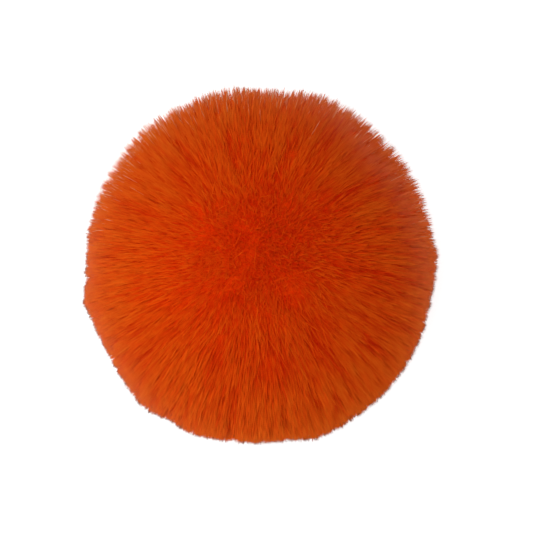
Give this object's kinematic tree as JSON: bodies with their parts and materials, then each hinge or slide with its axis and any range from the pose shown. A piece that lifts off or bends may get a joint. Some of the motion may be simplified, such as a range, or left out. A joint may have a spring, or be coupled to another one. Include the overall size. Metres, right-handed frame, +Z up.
{
  "type": "fur pom pom",
  "caption": "Round, dense fur pom pom with radiating locks, resting on a small flat spot; a soft trim for hats, bags and keyrings.",
  "frame": {"origin": "on the surface the pom pom rests on, below the middle of its outline", "axes": "+Z up, from the resting face through the ball; +Y is towards the top of the picture when the ball is seen from above, and +X to its right"},
  "size_m": [0.1, 0.0998, 0.0966],
  "materials": {
    "fur": "dense soft dyed fur, deep orange with lighter tips"
  },
  "bodies": {
    "root": {"pom_pom": "fur"}
  },
  "joints": []
}
